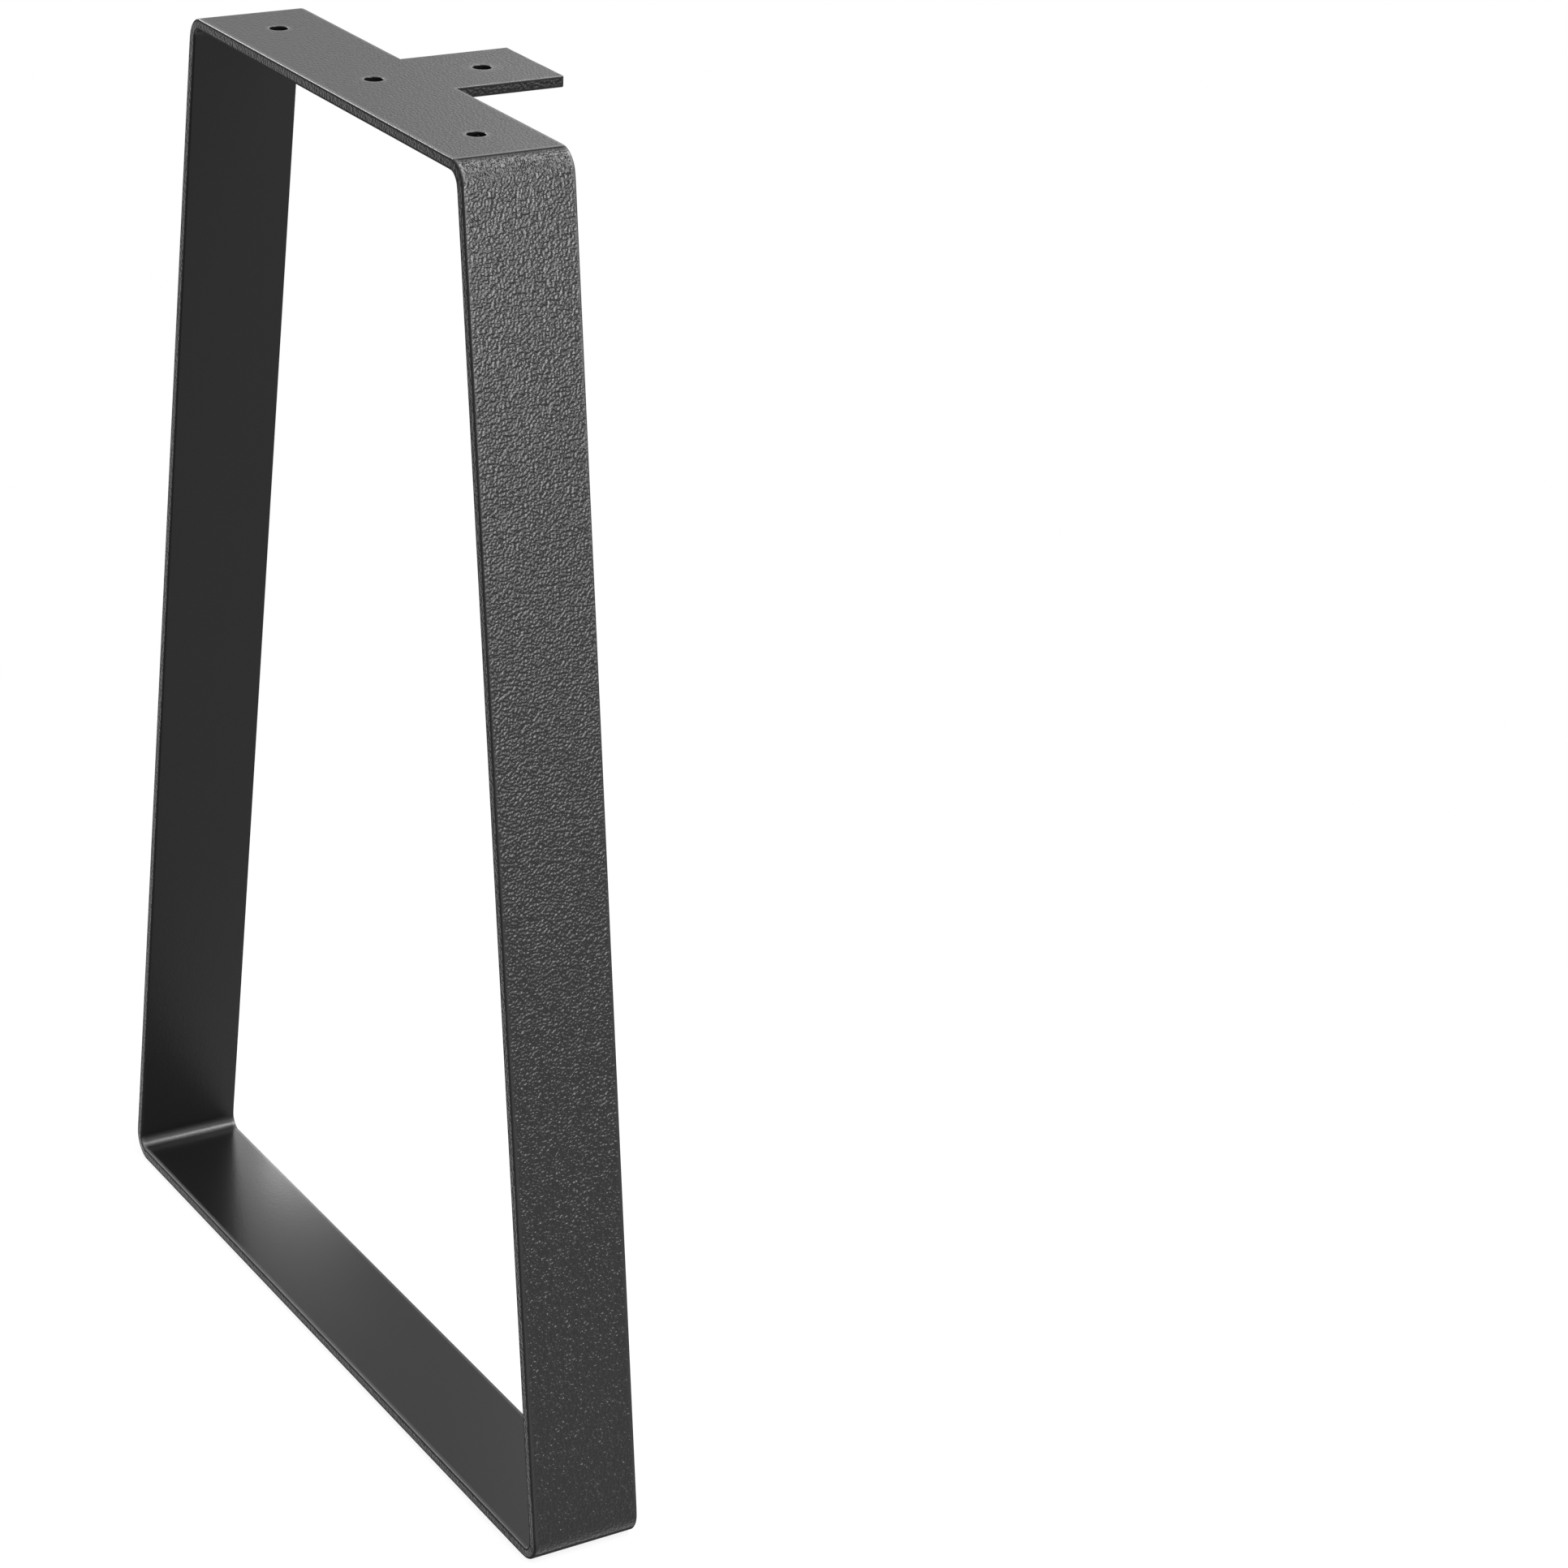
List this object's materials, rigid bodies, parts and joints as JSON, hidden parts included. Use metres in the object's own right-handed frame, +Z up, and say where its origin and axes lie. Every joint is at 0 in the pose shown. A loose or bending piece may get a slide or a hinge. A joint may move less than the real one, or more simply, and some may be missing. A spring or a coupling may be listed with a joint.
{
  "type": "trestle table leg",
  "caption": "Flat-bar table leg folded into a closed trapezoid, with a drilled top run and a drilled side tab that screw under a table top.",
  "frame": {"origin": "middle of the bottom run's underside, on the floor", "axes": "+Z up, X along the trapezoid's width, +Y across the bar towards the side that carries the tab"},
  "size_m": [0.4964, 0.12, 0.71],
  "materials": {
    "powder_coat": "fine textured matt powder coat, graphite black, on hot-rolled steel bar"
  },
  "bodies": {
    "root": {"loop": "powder_coat", "tab": "powder_coat"}
  },
  "joints": []
}
